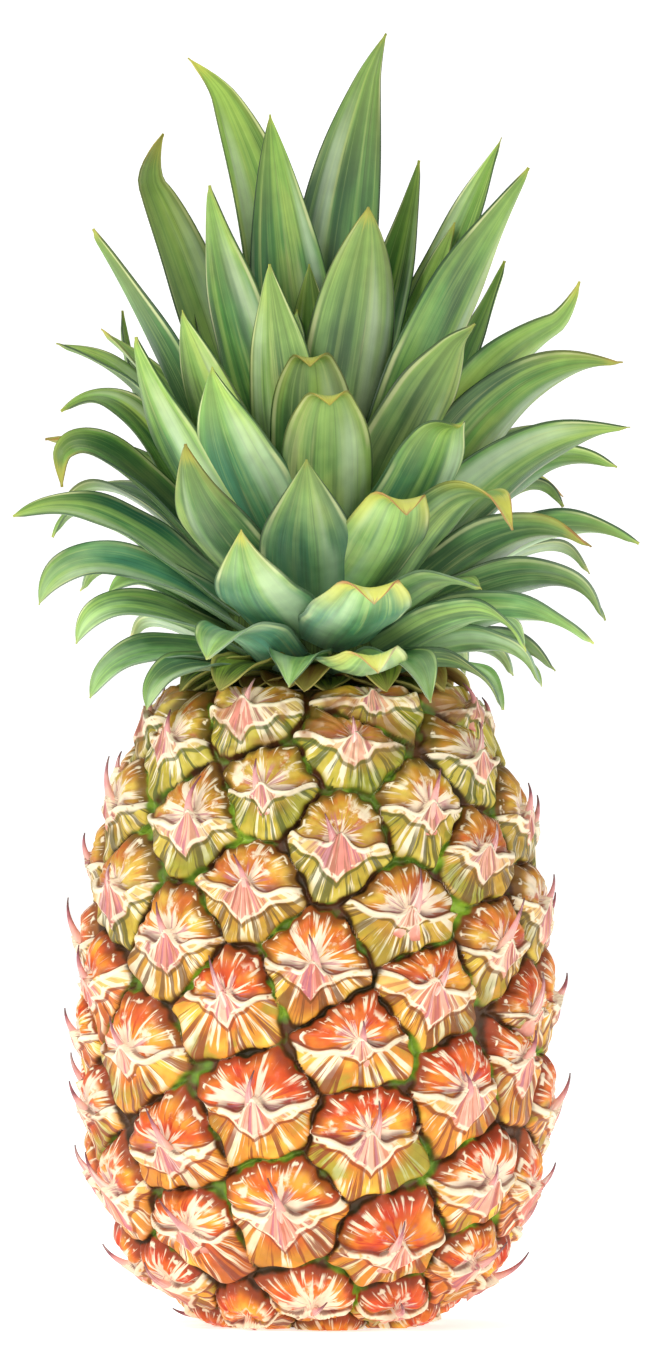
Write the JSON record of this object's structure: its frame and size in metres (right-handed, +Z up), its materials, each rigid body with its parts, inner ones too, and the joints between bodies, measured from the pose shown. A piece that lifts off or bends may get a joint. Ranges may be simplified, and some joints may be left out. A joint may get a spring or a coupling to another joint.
{
  "type": "pineapple",
  "caption": "Upright pineapple: a barrel of spiralling eyes, each with a spined bract, the cut stalk end in its base, and a crown of channelled, tapering leaves.",
  "frame": {"origin": "centre of the cut stalk end in the base, on the plane the fruit stands on", "axes": "+Z up along the fruit's axis through the crown; the side seen in the picture faces -Y"},
  "size_m": [0.1623, 0.1456, 0.3361],
  "materials": {
    "eyes": "waxy fruit rind, orange to yellow, greener at the shoulder",
    "leaves": "stiff green leaf with a dull wax bloom",
    "stalk_end": "dry cut fibre"
  },
  "bodies": {
    "root": {"fruit": "eyes", "crown": "leaves", "stalk": "stalk_end"}
  },
  "joints": []
}
